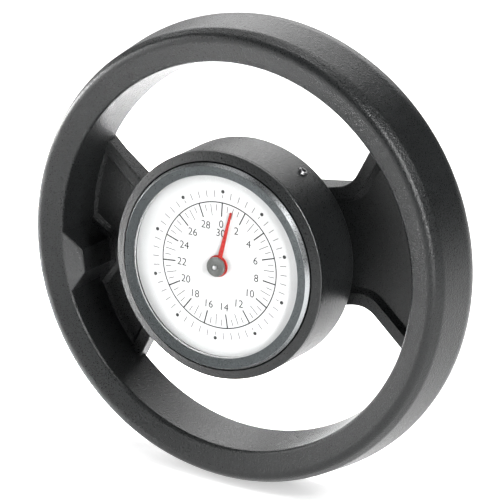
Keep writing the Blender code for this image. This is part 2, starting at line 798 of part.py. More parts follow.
def make_bushes(parent):
    rear = [
        (REAR_BUSH_R, REAR_PLATE[1] + GAP),
        (REAR_BUSH_R, REAR_PLATE[0] - GAP),
        (REAR_BUSH_FLANGE_R, REAR_PLATE[0] - GAP),
        (REAR_BUSH_FLANGE_R, REAR_BUSH_BACK),
        (AXLE_R + RUNNING_FIT, REAR_BUSH_BACK),
        (AXLE_R + RUNNING_FIT, REAR_PLATE[1] + GAP),
    ]
    turned("rear_bush", rear, BORE_SEGMENTS, "brass", parent)
    front = [
        (FRONT_BUSH_R, FRONT_PLATE[1] - FLUSH),
        (FRONT_BUSH_R, FRONT_PLATE[0] - GAP),
        (FRONT_BUSH_FLANGE_R, FRONT_PLATE[0] - GAP),
        (FRONT_BUSH_FLANGE_R, FRONT_BUSH_BACK),
        (PIPE_R + RUNNING_FIT, FRONT_BUSH_BACK),
        (PIPE_R + RUNNING_FIT, FRONT_PLATE[1] - FLUSH),
    ]
    turned("front_bush", front, BORE_SEGMENTS, "brass", parent)


# Gear train


def make_idler(parent):
    """The idler is modelled about its own arbor."""
    to_axis = TO_IDLER + math.pi
    bore = circle(ARBOR_R + GAP, SCREW_SEGMENTS)
    half_pitch = math.pi / IDLER_TEETH
    wheel = gear_outline(IDLER_TEETH, to_axis + half_pitch, 1)
    extruded("idler_wheel", [wheel, bore], *SUN_BAND, "brass", parent)
    pinion = gear_outline(IDLER_PINION_TEETH, to_axis, 2)
    extruded("idler_pinion", [pinion, bore], *IDLER_PINION_BAND, "steel", parent)
    ends = (REAR_PLATE[0] + FLUSH, FRONT_PLATE[1] - FLUSH)
    rod("idler_arbor", ARBOR_R, *ends, SCREW_SEGMENTS, "steel", parent)


def make_pointer_train(parent):
    half_pitch = math.pi / POINTER_TEETH
    wheel = gear_outline(POINTER_TEETH, TO_IDLER + half_pitch, 1)
    bore = circle(PIPE_R + GAP, BORE_SEGMENTS)
    extruded("pointer_wheel", [wheel, bore], *POINTER_WHEEL_BAND, "brass", parent)
    ring("pointer_pipe", PIPE_BORE_R, PIPE_R, *PIPE_SPAN, BORE_SEGMENTS, "steel", parent)
    root, tip = POINTER_ROOT_WIDTH / 2, POINTER_TIP_WIDTH / 2
    blend = math.asin(root / POINTER_HUB_R)
    hub = arc(POINTER_HUB_R, blend, 2 * math.pi - blend, 28)
    needle = hub + [(POINTER_TIP_R - tip, -tip), (POINTER_TIP_R, 0.0), (POINTER_TIP_R - tip, tip)]
    aim = Matrix.Rotation(POINTER_ANGLE, 4, "Z")
    outlines = [needle, bore]
    extruded("pointer", outlines, *POINTER_BAND, "pointer_red", parent, aim)
    cap = [
        (PIN_R + GAP, CAP_BAND[1]),
        (CAP_R - CAP_ROUNDING, CAP_BAND[1]),
        (CAP_R, CAP_BAND[1] - CAP_ROUNDING),
        (CAP_R, CAP_BAND[0]),
        (PIN_R + GAP, CAP_BAND[0]),
    ]
    turned("pointer_cap", cap, 24, "cap_grey", parent)
    pin = [
        (0.0, PIN_SPAN[1]),
        (PIN_R * 0.6, PIN_SPAN[1] - PIN_DOME / 4),
        (PIN_R, PIN_SPAN[1] - PIN_DOME),
        (PIN_R, PIN_SPAN[0]),
        (0.0, PIN_SPAN[0]),
    ]
    turned("cap_pin", pin, SCREW_SEGMENTS, "steel", parent)


def build():
    stand = new_empty("shaft_axis")
    wheel = new_empty("handwheel_axis", stand)
    pendulum = new_empty("pendulum_axis", stand)
    idler = new_empty("idler_axis", pendulum, *polar(CENTRE_DISTANCE, TO_IDLER))
    pointer = new_empty("pointer_axis", pendulum)
    make_handwheel(wheel)
    make_shaft_pieces(wheel)
    make_case_screws(wheel)
    make_case(stand)
    make_front(stand)
    make_axle(stand)
    make_plates(pendulum)
    make_pillars(pendulum)
    make_weight(pendulum)
    make_bushes(pendulum)
    make_idler(idler)
    make_pointer_train(pointer)
    wheel.rotation_euler.z = WHEEL_TILT
    stand.rotation_euler.x = math.pi / 2
    bpy.context.view_layer.update()


clear_scene()
PARTS = new_collection("control_handwheel")
CUTTERS = new_collection("cutters")
LOOKS = make_materials()
build()
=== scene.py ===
"""The looks of a two-spoke control handwheel with a gravity position indicator in its hub.

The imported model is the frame. The pieces that show are made again here as fine meshes, in the same
places and at the same sizes, and the pieces inside keep their shapes and get their materials.
Local coordinates lie flat: x to the right and y up as the dial is read, z the height in front of
the hub's rear face. STAND and WHEEL stand them up.
"""

import json
import math

import bmesh
import bpy
from mathutils import Matrix, Vector


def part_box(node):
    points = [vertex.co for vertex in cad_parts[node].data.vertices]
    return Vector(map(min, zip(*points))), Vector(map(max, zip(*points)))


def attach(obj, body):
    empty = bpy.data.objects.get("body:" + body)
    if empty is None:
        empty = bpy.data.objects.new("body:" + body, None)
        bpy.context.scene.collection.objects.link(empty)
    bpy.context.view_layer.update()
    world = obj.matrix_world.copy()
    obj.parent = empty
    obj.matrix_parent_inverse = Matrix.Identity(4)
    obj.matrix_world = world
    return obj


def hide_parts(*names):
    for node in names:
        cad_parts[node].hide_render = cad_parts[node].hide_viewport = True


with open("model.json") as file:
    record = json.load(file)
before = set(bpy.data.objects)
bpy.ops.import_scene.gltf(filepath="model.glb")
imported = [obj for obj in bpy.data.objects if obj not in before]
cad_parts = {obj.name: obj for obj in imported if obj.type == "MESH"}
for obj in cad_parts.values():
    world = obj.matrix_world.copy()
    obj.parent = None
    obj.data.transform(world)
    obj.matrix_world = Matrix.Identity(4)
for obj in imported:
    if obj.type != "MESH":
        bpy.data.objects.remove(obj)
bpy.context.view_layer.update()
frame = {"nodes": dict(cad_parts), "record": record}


# Sizes, in metres


def low_corner(node):
    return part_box(node)[0]


def high_corner(node):
    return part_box(node)[1]


def outer_radius(node):
    low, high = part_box(node)
    return (high.x - low.x) / 2


def mount(name):
    return next(m for m in frame["record"]["mounts"] if m["name"] == name)


SEAT_FACE = Vector(mount("handle_seat")["pos_m"])
WHEEL_TILT = math.atan2(-SEAT_FACE.z, -SEAT_FACE.x)
STAND = Matrix.Rotation(math.pi / 2, 4, "X")
WHEEL = STAND @ Matrix.Rotation(WHEEL_TILT, 4, "Z")

RIM_R = outer_radius("handwheel_body")
RIM_MIDDLE = 0.0190
RIM_BULGE = 0.0001
RIM_MIDDLE_R = RIM_R + RIM_BULGE
RIM_CREST = 0.0424
RIM_CREST_R = 0.0942
RIM_SHOULDER = 0.0368
RIM_SHOULDER_R = 0.0973
RIM_BACK = 0.0096
RIM_BACK_R = 0.0997
RIM_BACK_INNER_R = 0.0842
RIM_INNER_BACK = 0.0135
RIM_INNER_BACK_R = 0.0817
RIM_INNER_FRONT = 0.0388
RIM_INNER_FRONT_R = 0.0832
RIM_CREST_FILLET = 0.0035
RIM_SHOULDER_FILLET = 0.0050
RIM_MIDDLE_FILLET = 0.0120
RIM_BACK_FILLET = 0.0078
RIM_BACK_INNER_FILLET = 0.0030
RIM_INNER_BACK_FILLET = 0.0008
RIM_INNER_FRONT_FILLET = 0.0022

HUB_FRONT = 0.0495
HUB_FRONT_R = 0.0485
HUB_EDGE = 0.0005
HUB_LIP_FRONT = 0.0508
HUB_GROOVE = (0.0479, 0.0483)
HUB_GROOVE_R = 0.0482
HUB_BACK = 0.0224
HUB_BACK_R = 0.0490
HUB_CHAMFER = 0.0080
HUB_FOOT = 0.0090
HUB_BACK_FILLET = 0.0020
HUB_FOOT_FILLET = 0.0006
HUB_LIP_FILLET = 0.0003
CUP_R = 0.0444
CUP_FLOOR = 0.0220
BOSS_R = 0.0280
BOSS_TAPER = 0.0010
BOSS_FILLET = 0.0012
BOSS_HOLE_FILLET = 0.0002
MIDDLE_WALL = 0.0040
MIDDLE_BACK = -0.0010

WEB_FRONT = 0.0175
WEB_BACK = 0.0012
WEB_RIM_BACK = 0.0103
WEB_HALF = 0.0252
WEB_START_X = 0.0125
WEB_BEND_X = 0.0488
WEB_SPREAD = math.radians(53)
WEB_BEND_FILLET = 0.0120
WEB_END_R = 0.0890
WEB_BACK_START_X = 0.0270
WEB_BACK_END_X = 0.0620
WEB_ROUNDING = 0.0007
PANEL_BORDER = 0.0050
PANEL_HUB_X = 0.0340
PANEL_RIM_R = 0.0825
PANEL_STEP = 0.0007
PANEL_SLOPE = 0.0020
PANEL_CLEARANCE = 0.0020

SEAT_TIP_X = 0.0737
SEAT_TIP_HALF = 0.0049
SEAT_SIDE = 0.0100
SEAT_END_X = 0.0880
SEAT_BOTTOM = 0.0105
SEAT_TOP = -SEAT_FACE.y
SEAT_ROUNDING = 0.0007

BUSH_R = outer_radius("shaft_bush")
BUSH_BORE_R = 0.0100
BUSH_LENGTH = -low_corner("shaft_bush").y
BUSH_CHAMFER = 0.0008
CLEARANCE = 0.0003
THREAD_PITCH = 0.0006
THREAD_DEPTH = 0.0003
SHAFT_SCREW_R = 0.0030
SHAFT_SCREW_HEIGHT = 0.0048
SHAFT_SCREW_SPAN = (0.0106, 0.0266)
SHAFT_HOLE_SPAN = (0.0120, 0.0320)
BUSH_HOLE_SPAN = (0.0080, 0.0160)
SHAFT_SCREW_ANGLE = math.pi / 2
CASE_SCREW_R = 0.0020
CASE_SCREW_HEIGHT = 0.0296
CASE_SCREW_SPAN = (0.0437, 0.0497)
CASE_HOLE_SPAN = (0.0400, 0.0520)
CASE_SCREW_ANGLES = {"upper": math.pi / 4, "lower": -3 * math.pi / 4}

# A grub screw's details: the thread's root in pitches, and the rest in radii of the screw
THREAD_ROOT = 0.45
SCREW_CHAMFER = 0.22
CUP_POINT_R = 0.5
CUP_POINT_DEPTH = 0.4
SOCKET_R = 0.58
SOCKET_DEPTH = 1.3
LEAD_IN = (0.78, 0.2, 0.38)

BEZEL_R = outer_radius("bezel_ring")
BEZEL_FRONT = -low_corner("bezel_ring").y
BEZEL_BACK = -high_corner("bezel_ring").y
BEZEL_FACE_R = 0.0428
BEZEL_SHOULDER = 0.0509
BEZEL_LIP_R = 0.0389
BEZEL_LIP_FRONT = 0.0521
BEZEL_LIP_BACK = 0.0511
BEZEL_SKIRT_R = 0.0424
BEZEL_FACE_FILLET = 0.00015
BEZEL_SKIRT_FILLET = 0.0001
BEZEL_LIP_FILLET = 0.00008

WINDOW_TOP = -low_corner("window").y
WINDOW_BACK = -high_corner("window").y
WINDOW_FLANGE_R = outer_radius("window")
WINDOW_FLANGE_FRONT = 0.0508
WINDOW_R = 0.0386
WINDOW_SHOULDER = 0.0519
WINDOW_WALL = 0.0012
WINDOW_SIDE_WALL = 0.0002

DIAL_R = outer_radius("dial")
DIAL_FRONT = -low_corner("dial").y
DIAL_BACK = -high_corner("dial").y
DIAL_HOLE_R = 0.0029
DIAL_EDGE = 0.0001

POINTER_BAND = (-high_corner("pointer").y, -low_corner("pointer").y)
POINTER_ANGLE = math.radians(90 - 11.5)
POINTER_HUB_R = 0.0046
POINTER_BORE_R = 0.0025
POINTER_TIP_R = 0.0244
POINTER_ROOT_HALF = 0.0010
POINTER_TIP_HALF = 0.00045
POINTER_ROUNDING = 0.00012
CAP_R = outer_radius("pointer_cap")
CAP_BAND = (-high_corner("pointer_cap").y, -low_corner("pointer_cap").y)
CAP_FRONT_FILLET = 0.00035
CAP_BACK_FILLET = 0.0001
CAP_HOLE_BACK_FILLET = 0.00005
CAP_HOLE_FRONT_FILLET = 0.00008
PIN_R = outer_radius("cap_pin")
PIN_BAND = (-high_corner("cap_pin").y, -low_corner("cap_pin").y)
PIN_DOME = 0.0004

# The dial's print. The gap between a dot and the mark beside it is in radii of the dot
INK = 0.00003
OUTER_TICKS = 50
OUTER_TICK_SPAN = (0.0289, 0.03175)
OUTER_TICK_WIDTH = 0.00034
DOT_EVERY = 5
DOT_AT = 0.03165
DOT_R = 0.00078
DOT_GAP = 0.8
CIRCLE_R = 0.0269
CIRCLE_WIDTH = 0.00050
TURNS = 30
TICKS_PER_NUMBER = 4
LONG_TICK_END = 0.0209
MIDDLE_TICK_END = 0.0211
SHORT_TICK_END = 0.0232
LONG_TICK_WIDTH = 0.00058
FINE_TICK_WIDTH = 0.00036
NUMBER_HEIGHT = 0.0032
NUMBER_WEIGHT = 0.001
NUMBER_AT = 0.0178
LAST_NUMBER_AT = 0.0140

# Fineness: the sides of round pieces, the steps of arcs, and the rounds of a search for a point
RIM_STEPS = 240
HUB_STEPS = 180
FINE_STEPS = 144
SMALL_STEPS = 48
POINTER_HUB_STEPS = 64
POINTER_TIP_STEPS = 6
PIN_STEPS = 8
DOT_STEPS = 24
WINDOW_STEPS = 16
BEND_STEPS = 12
WEB_END_STEPS = 24
PANEL_STEPS = 30
BESIDE_SEAT_STEPS = 10
ROUNDING_STEPS = 3
HEXAGON = 6
SEARCH_ROUNDS = 40
SMOOTH_ANGLE = math.radians(32)
MERGE = 1e-7
CUT_PAST = 0.0010

# Studio: each light's place, aim, size, power in watts and spread in degrees
DIAL_CENTRE = (0.0, -DIAL_FRONT, 0.0)
LIGHTS = {
    "key_left": ((-1.4, -0.7, 0.5), DIAL_CENTRE, (0.9, 1.0), 12.0, 180.0),
    "low_left": ((-0.9, -1.3, 0.12), DIAL_CENTRE, (0.9, 0.4), 2.5, 180.0),
    "side_left": ((-1.2, 0.15, 0.05), DIAL_CENTRE, (0.6, 0.3), 9.0, 180.0),
    "top_right": ((0.95, -0.5, 0.95), DIAL_CENTRE, (0.25, 0.25), 8.0, 180.0),
    "strip_right": ((0.95, -0.72, 0.40), DIAL_CENTRE, (0.10, 0.7), 9.0, 180.0),
    "ceiling": ((-0.6, 0.2, 1.6), (-0.6, 0.2, 0.0), (1.2, 1.2), 2.5, 180.0),
    "back_left": ((-0.75, 1.5, 0.9), DIAL_CENTRE, (1.8, 0.9), 17.0, 180.0),
    "floor_left": ((-0.45, 0.2, 0.7), (-0.36, 0.1, -0.1), (0.3, 0.3), 8.0, 40.0),
    "floor_back": ((-0.1, 0.4, 0.8), (-0.1, 0.35, -0.1), (0.5, 0.5), 1.2, 60.0),
}
SKY_STRENGTH = 0.05
FLOOR_GLOW = 0.44
FLOOR_HALF = 5.0

# Camera, with its sensor and lens in millimetres
AZIMUTH = math.radians(28.64)
ELEVATION = math.radians(17.815)
ROLL = math.radians(3.211)
DISTANCE = 1.1087
TARGET_RIGHT = 0.0123
TARGET_UP = 0.0070
SENSOR = 36.0
LENS = 193.9


# Outlines


def polar(radius, angle):
    return (radius * math.cos(angle), radius * math.sin(angle))


def arc(radius, start, end, steps, centre=(0.0, 0.0)):
    """Points from one angle to another about a centre, both ends included."""
    points = []
    for i in range(steps + 1):
        x, y = polar(radius, start + (end - start) * i / steps)
        points.append((centre[0] + x, centre[1] + y))
    return points


def circle(radius, steps, centre=(0.0, 0.0)):
    return arc(radius, 0, 2 * math.pi, steps, centre)[:-1]


def filleted(corners, steps=6):
    """A closed outline from corners (x, y, radius), each radius above 0 becoming an arc."""
    points = []
    for i, (x, y, radius) in enumerate(corners):
        corner = Vector((x, y))
        if not radius:
            points.append((x, y))
            continue
        before = (Vector(corners[i - 1][:2]) - corner).normalized()
        after = (Vector(corners[(i + 1) % len(corners)][:2]) - corner).normalized()
        half = before.angle(after) / 2
        middle = corner + (before + after).normalized() * radius / math.sin(half)
        first = corner + before * radius / math.tan(half) - middle
        turn = first.angle_signed(corner + after * radius / math.tan(half) - middle)
        for step in range(steps + 1):
            spoke = Matrix.Rotation(-turn * step / steps, 2) @ first
            points.append(tuple(middle + spoke))
    return points


# Solids


def to_object(edit, name):
    bmesh.ops.remove_doubles(edit, verts=edit.verts, dist=MERGE)
    bmesh.ops.recalc_face_normals(edit, faces=edit.faces)
    mesh = bpy.data.meshes.new(name)
    edit.to_mesh(mesh)
    edit.free()
    obj = bpy.data.objects.new(name, mesh)
    bpy.context.scene.collection.objects.link(obj)
    return obj


def turned(name, outline, steps):
    """A solid of revolution about local z from a closed outline of (radius, height)."""
    edit = bmesh.new()
    rings = []
    for radius, height in outline:
        if radius < MERGE:
            rings.append([edit.verts.new((0.0, 0.0, height))] * steps)
        else:
            rings.append([edit.verts.new((x, y, height)) for x, y in circle(radius, steps)])
    for i, ring in enumerate(rings):
        previous = rings[i - 1]
        for j in range(steps):
            k = (j + 1) % steps
            corners = []
            for vert in (previous[j], previous[k], ring[k], ring[j]):
                if vert not in corners:
                    corners.append(vert)
            if len(corners) > 2:
                edit.faces.new(corners)
    return to_object(edit, name)


def slab(name, outline, low, high, rounding=0.0):
    """A flat shape between two heights, with its front edge rounded."""
    edit = bmesh.new()
    base = edit.faces.new([edit.verts.new((x, y, low)) for x, y in outline])
    grown = bmesh.ops.extrude_face_region(edit, geom=[base])["geom"]
    top = [item for item in grown if isinstance(item, bmesh.types.BMVert)]
    bmesh.ops.translate(edit, verts=top, vec=(0, 0, high - low))
    bmesh.ops.recalc_face_normals(edit, faces=edit.faces)
    if rounding:
        lifted = set(top)
        edges = [e for e in edit.edges if e.verts[0] in lifted and e.verts[1] in lifted]
        bmesh.ops.bevel(
            edit,
            geom=edges,
            offset=rounding,
            segments=ROUNDING_STEPS,
            profile=0.5,
            affect="EDGES",
            clamp_overlap=True,
        )
    return to_object(edit, name)


def combine(target, operation, *others):
    """Joins or cuts with the EXACT solver, and removes the other solids."""
    for other in others:
        boolean = target.modifiers.new(operation.lower(), "BOOLEAN")
        boolean.operation = operation
        boolean.object = other
        boolean.solver = "EXACT"
        bpy.context.view_layer.update()
        graph = bpy.context.evaluated_depsgraph_get()
        mesh = bpy.data.meshes.new_from_object(target.evaluated_get(graph))
        target.modifiers.clear()
        target.data = mesh
        bpy.data.objects.remove(other, do_unlink=True)


def joined(name, objects):
    """One mesh of several separate ones."""
    edit = bmesh.new()
    for obj in objects:
        edit.from_mesh(obj.data)
        bpy.data.objects.remove(obj, do_unlink=True)
    mesh = bpy.data.meshes.new(name)
    edit.to_mesh(mesh)
    edit.free()
    obj = bpy.data.objects.new(name, mesh)
    bpy.context.scene.collection.objects.link(obj)
    return obj


def fit(obj, matrix, material, body, slot, *nodes):
    """Stands a finished piece up, shades it, and says what it rides on and what it replaces."""
    obj.data.transform(matrix)
    obj.data.materials.clear()
    obj.data.materials.append(material)
    obj.data.shade_smooth()
    obj.data.set_sharp_from_angle(angle=SMOOTH_ANGLE)
    even = obj.modifiers.new("even shading", "WEIGHTED_NORMAL")
    even.keep_sharp = True
    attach(obj, body)
    if nodes:
        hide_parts(*nodes)


def repaint(obj, material, radii, heights):
    """Gives a second material to a standing piece's faces inside a ring about the wheel's axis."""
    obj.data.materials.append(material)
    for face in obj.data.polygons:
        radius = math.hypot(face.center.x, face.center.z)
        if radii[0] < radius < radii[1] and heights[0] < -face.center.y < heights[1]:
            face.material_index = 1


# Materials


class Look:
    """A material that is being made, with its shader and the nodes that feed it."""

    def __init__(self, name, colour, roughness, metallic=0.0):
        self.material = bpy.data.materials.new(name)
        self.material.use_nodes = True
        self.tree = self.material.node_tree
        self.shader = self.tree.nodes["Principled BSDF"]
        self.shader.inputs["Base Color"].default_value = (*colour, 1.0)
        self.shader.inputs["Roughness"].default_value = roughness
        self.shader.inputs["Metallic"].default_value = metallic
        self.colour = colour
        self.place = self.tree.nodes.new("ShaderNodeTexCoord").outputs["Object"]

    def add(self, kind, links=None, values=None, **settings):
        node = self.tree.nodes.new(kind)
        for name, value in settings.items():
            setattr(node, name, value)
        for key, value in (values or {}).items():
            node.inputs[key].default_value = value
        for key, source in (links or {}).items():
            self.tree.links.new(source, node.inputs[key])
        return node

    def stretched(self, scale):
        """The place, stretched by different amounts along x, y and z."""
        node = self.add("ShaderNodeVectorMath", {0: self.place}, {1: scale}, operation="MULTIPLY")
        return node.outputs["Vector"]

    def noise(self, scale, detail=2.0, place=None):
        values = {"Scale": scale, "Detail": detail}
        node = self.add("ShaderNodeTexNoise", {"Vector": place or self.place}, values)
        return node.outputs["Fac"]

    def cells(self, scale):
        """Smooth pits, one to each cell."""
        node = self.add(
            "ShaderNodeTexVoronoi",
            {"Vector": self.place},
            {"Scale": scale, "Smoothness": 0.6},
            feature="SMOOTH_F1",
        )
        return node.outputs["Distance"]

    def ranged(self, source, low, high, start=0.3, end=0.7):
        values = {"From Min": start, "From Max": end, "To Min": low, "To Max": high}
        return self.add("ShaderNodeMapRange", {"Value": source}, values).outputs["Result"]

    def summed(self, first, second, share):
        node = self.add(
            "ShaderNodeMath", {0: second, 2: first}, {1: share}, operation="MULTIPLY_ADD"
        )
        return node.outputs["Value"]

    def vary_colour(self, source, darker, lighter):
        mix = self.add("ShaderNodeMix", {"Factor": source}, data_type="RGBA")
        mix.inputs["A"].default_value = (*[c * darker for c in self.colour], 1.0)
        mix.inputs["B"].default_value = (*[min(1.0, c * lighter) for c in self.colour], 1.0)
        self.tree.links.new(mix.outputs["Result"], self.shader.inputs["Base Color"])

    def vary_roughness(self, source, low, high, start=0.3, end=0.7):
        values = self.ranged(source, low, high, start, end)
        self.tree.links.new(values, self.shader.inputs["Roughness"])

    def relief(self, source, distance, strength=1.0):
        node = self.add(
            "ShaderNodeBump", {"Height": source}, {"Distance": distance, "Strength": strength}
        )
        self.tree.links.new(node.outputs["Normal"], self.shader.inputs["Normal"])


def moulding_look():
    """Glass-filled nylon from a spark-eroded mould: fine pits, cloudy gloss and flow marks."""
    look = Look("moulded_black", (0.012, 0.013, 0.0133), 0.45)
    grain = look.cells(1500.0)
    speckle = look.noise(1900.0, 2.0)
    clouds = look.noise(60.0, 4.0)
    mottle = look.summed(look.ranged(speckle, 0.0, 0.8), look.ranged(clouds, 0.0, 1.0), 0.2)
    look.vary_colour(mottle, 0.45, 1.75)
    look.vary_roughness(look.summed(speckle, clouds, 0.1), 0.24, 0.39, 0.35, 0.75)
    look.relief(look.summed(grain, speckle, 1.0), 0.00012, 0.9)
    return look.material


def burnished_look():
    """The same moulding, lighter in colour and glossier: a painted highlight for the hub's front
    edge.
    """
    # Lighter than the plain moulding, so the edge shows as a painted highlight line
    look = Look("moulded_black_edge_highlight", (0.05, 0.052, 0.053), 0.2)
    highlight_patches = look.noise(700.0, 3.0)
    look.vary_colour(highlight_patches, 0.6, 1.4)
    look.vary_roughness(highlight_patches, 0.14, 0.28)
    look.shader.inputs["Specular IOR Level"].default_value = 1.0
    return look.material


def case_look():
    look = Look("case_black", (0.013, 0.013, 0.014), 0.55)
    look.vary_colour(look.noise(300.0, 3.0), 0.8, 1.3)
    look.vary_roughness(look.noise(90.0), 0.48, 0.62)
    look.relief(look.noise(2200.0, 2.0), 0.00003)
    return look.material


def bezel_look():
    """A turned ring, bead blasted and finished in dark grey."""
    look = Look("bezel_grey", (0.055, 0.061, 0.063), 0.34, 0.85)
    speckle = look.noise(3000.0, 3.0)
    look.vary_colour(look.ranged(speckle, 0.0, 1.0), 0.45, 2.0)
    look.vary_roughness(look.noise(900.0), 0.26, 0.40)
    look.relief(speckle, 0.00009)
    return look.material


def bezel_edge_look():
    """The bezel's chamfer in a metal far lighter than its face: a painted highlight, brightened
    further by the lamps' reflections, with fine turning marks.
    """
    look = Look("bezel_edge", (0.62, 0.64, 0.65), 0.26, 1.0)
    marks = look.noise(2600.0, 3.0)
    look.vary_colour(look.ranged(marks, 0.0, 1.0), 0.85, 1.05)
    look.vary_roughness(marks, 0.24, 0.34)
    return look.material


def window_look():
    look = Look("window_clear", (1.0, 1.0, 1.0), 0.02)
    look.shader.inputs["Transmission Weight"].default_value = 1.0
    look.shader.inputs["IOR"].default_value = 1.12
    look.vary_roughness(look.noise(40.0), 0.01, 0.035)
    return look.material


def dial_look():
    look = Look("dial_white", (0.66, 0.67, 0.67), 0.6)
    look.vary_colour(look.noise(700.0, 2.0), 0.985, 1.0)
    look.vary_roughness(look.noise(150.0), 0.48, 0.6)
    look.relief(look.noise(2600.0, 2.0), 0.00001)
    return look.material


def ink_look(name, colour):
    """Screen-printed ink, slightly uneven in density."""
    look = Look(name, colour, 0.5)
    look.vary_colour(look.noise(2500.0, 2.0), 0.75, 1.25)
    look.vary_roughness(look.noise(900.0), 0.42, 0.6)
    return look.material


def paint_look(name, colour, roughness):
    """Sprayed enamel with a faint orange peel."""
    look = Look(name, colour, roughness)
    peel = look.noise(1800.0, 1.0)
    look.vary_colour(look.noise(500.0, 2.0), 0.93, 1.05)
    look.vary_roughness(look.noise(350.0), roughness - 0.05, roughness + 0.07)
    look.relief(peel, 0.00002)
    look.shader.inputs["Specular IOR Level"].default_value = 0.25
    return look.material


def metal_look(name, colour, roughness, grain_scale, lines):
    """Machined or brushed metal. lines stretches its fine scratches along an axis."""
    look = Look(name, colour, roughness, 1.0)
    scratches = look.noise(grain_scale, 4.0, look.stretched(lines))
    stains = look.noise(130.0, 3.0)
    look.vary_colour(look.summed(scratches, stains, 0.6), 0.72, 1.05)
    look.vary_roughness(scratches, roughness - 0.07, roughness + 0.12)
    look.relief(scratches, 0.000012)
    return look.material


def screw_look():
    """Oil-blackened steel, a little worn."""
    look = Look("screw_black", (0.26, 0.26, 0.265), 0.30, 1.0)
    look.vary_colour(look.ranged(look.noise(1400.0, 4.0), 0.0, 1.0), 0.35, 2.2)
    look.vary_roughness(look.noise(700.0), 0.26, 0.44)
    look.relief(look.noise(3000.0, 2.0), 0.00002)
    return look.material


def rubber_look():
    look = Look("seal_rubber", (0.02, 0.02, 0.02), 0.8)
    look.vary_colour(look.noise(600.0, 3.0), 0.7, 1.4)
    look.vary_roughness(look.noise(300.0), 0.7, 0.9)
    look.relief(look.noise(2500.0, 2.0), 0.00004)
    return look.material


def floor_look():
    look = Look("floor_white", (0.93, 0.93, 0.93), 0.9)
    look.vary_colour(look.noise(6.0, 2.0), 0.99, 1.0)
    look.vary_roughness(look.noise(20.0), 0.85, 0.95)
    look.shader.inputs["Emission Color"].default_value = (1.0, 1.0, 1.0, 1.0)
    look.shader.inputs["Emission Strength"].default_value = FLOOR_GLOW
    return look.material


# Handwheel


def rim():
    outline = filleted(
        [
            (RIM_CREST_R, RIM_CREST, RIM_CREST_FILLET),
            (RIM_SHOULDER_R, RIM_SHOULDER, RIM_SHOULDER_FILLET),
            (RIM_MIDDLE_R, RIM_MIDDLE, RIM_MIDDLE_FILLET),
            (RIM_BACK_R, RIM_BACK, RIM_BACK_FILLET),
            (RIM_BACK_INNER_R, RIM_BACK, RIM_BACK_INNER_FILLET),
            (RIM_INNER_BACK_R, RIM_INNER_BACK, RIM_INNER_BACK_FILLET),
            (RIM_INNER_FRONT_R, RIM_INNER_FRONT, RIM_INNER_FRONT_FILLET),
        ]
    )
    return turned("rim", outline, RIM_STEPS)


def hub():
    chamfer_r = HUB_BACK_R - HUB_CHAMFER
    chamfer_z = HUB_BACK - HUB_CHAMFER
    hole_r = BUSH_R + CLEARANCE
    outline = filleted(
        [
            (HUB_FRONT_R, HUB_FRONT, HUB_EDGE),
            (HUB_FRONT_R, HUB_GROOVE[1], 0.0),
            (HUB_GROOVE_R, HUB_GROOVE[1], 0.0),
            (HUB_GROOVE_R, HUB_GROOVE[0], 0.0),
            (HUB_FRONT_R, HUB_GROOVE[0], 0.0),
            (HUB_BACK_R, HUB_BACK, HUB_BACK_FILLET),
            (chamfer_r, chamfer_z, HUB_FOOT_FILLET),
            (chamfer_r, HUB_FOOT, HUB_FOOT_FILLET),
            (BOSS_R + BOSS_TAPER, HUB_FOOT, HUB_FOOT_FILLET),
            (BOSS_R, 0.0, BOSS_FILLET),
            (hole_r, 0.0, BOSS_HOLE_FILLET),
            (hole_r, CUP_FLOOR, 0.0),
            (CUP_R, CUP_FLOOR, 0.0),
            (CUP_R, HUB_LIP_FRONT, HUB_LIP_FILLET),
        ]
    )
    return turned("hub", outline, HUB_STEPS)


def web_edge_x(y):
    """How far out a web's straight free edge is at a distance y from its centre line."""
    return WEB_BEND_X + (y - WEB_HALF) / math.tan(WEB_SPREAD)


def reach_y(radius, offset):
    """Where the line beside a web's free edge, offset inwards from it, meets a circle."""
    y = WEB_HALF
    for _ in range(SEARCH_ROUNDS):
        y += radius - math.hypot(web_edge_x(y) + offset, y)
    return y


def web_outline():
    """The whole web in plan, from inside the hub out into the rim."""
    end_y = reach_y(WEB_END_R, 0.0)
    end_angle = math.atan2(end_y, web_edge_x(end_y))
    upper = filleted(
        [
            (WEB_START_X, WEB_HALF, 0.0),
            (WEB_BEND_X, WEB_HALF, WEB_BEND_FILLET),
            (web_edge_x(end_y), end_y, 0.0),
        ],
        BEND_STEPS,
    )
    rim_side = arc(WEB_END_R, end_angle, -end_angle, WEB_END_STEPS)[1:-1]
    return upper + rim_side + [(x, -y) for x, y in reversed(upper)]


def seat_outline(grow=0.0):
    """The handle seat in plan: half an octagon, open to the rim."""
    tip_half = SEAT_TIP_HALF + grow * math.tan(math.pi / 8)
    wide = tip_half + SEAT_SIDE
    tip_x = SEAT_TIP_X - grow
    upper = [(SEAT_END_X, wide), (tip_x + SEAT_SIDE, wide), (tip_x, tip_half)]
    return upper + [(x, -y) for x, y in reversed(upper)]


